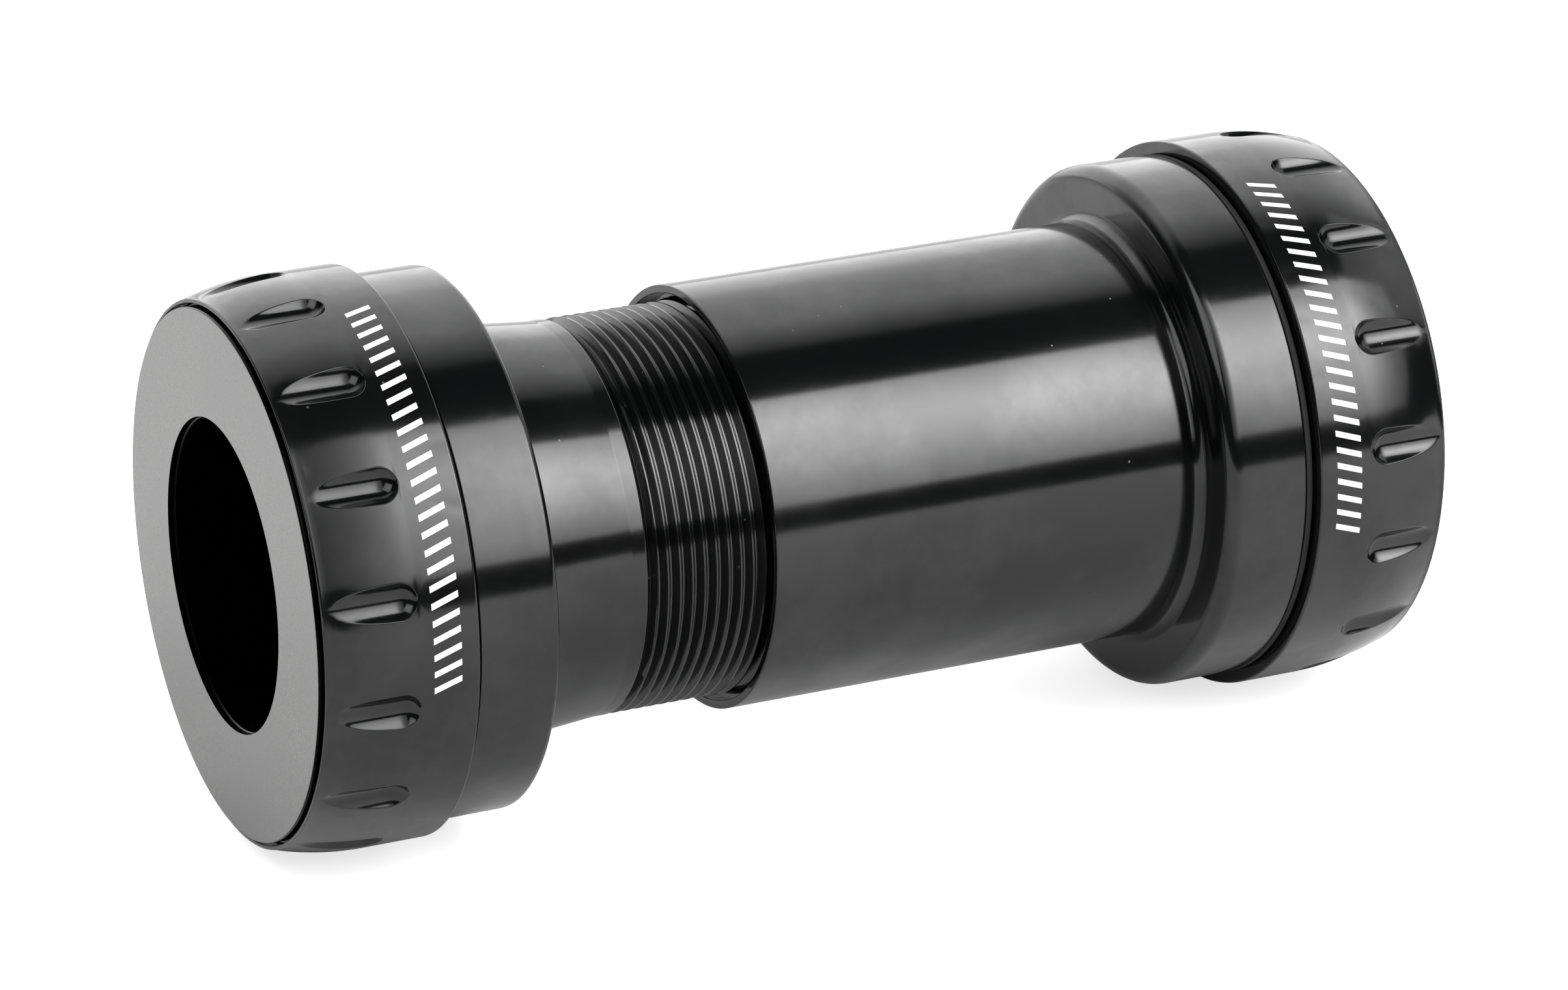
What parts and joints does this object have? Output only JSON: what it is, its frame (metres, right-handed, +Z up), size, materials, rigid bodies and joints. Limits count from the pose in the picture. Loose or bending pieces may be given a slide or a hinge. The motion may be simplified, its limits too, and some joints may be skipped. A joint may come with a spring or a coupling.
{
  "type": "bottom bracket",
  "caption": "Thread-together bicycle bottom bracket: two flanged cups screw into each other and carry a crank spindle on sealed ball bearings.",
  "frame": {"origin": "on the spindle axis, halfway between the two flange shoulders, which is the middle of the whole part at rest", "axes": "+Y along the spindle axis from the left (threaded) cup to the right (sleeved) cup, +Z up"},
  "size_m": [0.044, 0.094, 0.044],
  "materials": {
    "anodised_aluminium": "glossy black anodised",
    "cover_aluminium": "satin dark grey anodised",
    "bearing_steel": "ground and honed",
    "ceramic_ball": "polished silicon nitride",
    "seal_rubber": "moulded black rubber",
    "cage_nylon": "natural moulded nylon"
  },
  "bodies": {
    "right_cup_body": {"right_cup": "anodised_aluminium", "right_outer_race": "bearing_steel", "right_outboard_seal": "seal_rubber", "right_inboard_seal": "seal_rubber", "right_shell_seal": "seal_rubber"},
    "right_rotor": {"right_inner_race": "bearing_steel", "right_dust_cover": "cover_aluminium"},
    "right_ball_set": {"right_cage": "cage_nylon", "right_ball_01": "ceramic_ball", "right_ball_02": "ceramic_ball", "right_ball_03": "ceramic_ball", "right_ball_04": "ceramic_ball", "right_ball_05": "ceramic_ball", "right_ball_06": "ceramic_ball", "right_ball_07": "ceramic_ball", "right_ball_08": "ceramic_ball", "right_ball_09": "ceramic_ball", "right_ball_10": "ceramic_ball", "right_ball_11": "ceramic_ball", "right_ball_12": "ceramic_ball", "right_ball_13": "ceramic_ball", "right_ball_14": "ceramic_ball", "right_ball_15": "ceramic_ball"},
    "left_slide": {"left_shell_seal": "seal_rubber"},
    "left_cup_body": {"left_cup": "anodised_aluminium", "left_outer_race": "bearing_steel", "left_outboard_seal": "seal_rubber", "left_inboard_seal": "seal_rubber"},
    "left_rotor": {"left_inner_race": "bearing_steel", "left_dust_cover": "cover_aluminium"},
    "left_ball_set": {"left_cage": "cage_nylon", "left_ball_01": "ceramic_ball", "left_ball_02": "ceramic_ball", "left_ball_03": "ceramic_ball", "left_ball_04": "ceramic_ball", "left_ball_05": "ceramic_ball", "left_ball_06": "ceramic_ball", "left_ball_07": "ceramic_ball", "left_ball_08": "ceramic_ball", "left_ball_09": "ceramic_ball", "left_ball_10": "ceramic_ball", "left_ball_11": "ceramic_ball", "left_ball_12": "ceramic_ball", "left_ball_13": "ceramic_ball", "left_ball_14": "ceramic_ball", "left_ball_15": "ceramic_ball"}
  },
  "joints": [
    {"name": "right_bearing_spin", "type": "hinge", "parent": "right_cup_body", "child": "right_rotor", "pos_m": [0, 0.0419, 0], "axis": [0, 1, 0], "continuous": true},
    {"name": "right_ball_orbit", "type": "hinge", "parent": "right_cup_body", "child": "right_ball_set", "pos_m": [0, 0.0419, 0], "axis": [0, 1, 0], "continuous": true},
    {"name": "left_cup_travel", "type": "slide", "parent": "right_cup_body", "child": "left_slide", "axis": [0, 1, 0], "range_m": [-0.0061, 0.0021]},
    {"name": "left_cup_screw", "type": "hinge", "parent": "left_slide", "child": "left_cup_body", "pos_m": [0, -0.0419, 0], "axis": [0, 1, 0], "range_deg": [-2160, 720]},
    {"name": "left_bearing_spin", "type": "hinge", "parent": "left_cup_body", "child": "left_rotor", "pos_m": [0, -0.0419, 0], "axis": [0, 1, 0], "continuous": true},
    {"name": "left_ball_orbit", "type": "hinge", "parent": "left_cup_body", "child": "left_ball_set", "pos_m": [0, -0.0419, 0], "axis": [0, 1, 0], "continuous": true}
  ],
  "couplings": [
    {"joint": "right_ball_orbit", "follows": "right_bearing_spin", "ratio": 0.44355},
    {"joint": "left_ball_orbit", "follows": "left_bearing_spin", "ratio": 0.44355},
    {"joint": "left_cup_travel", "follows": "left_cup_screw", "m_per_rad": 0.00015915}
  ]
}
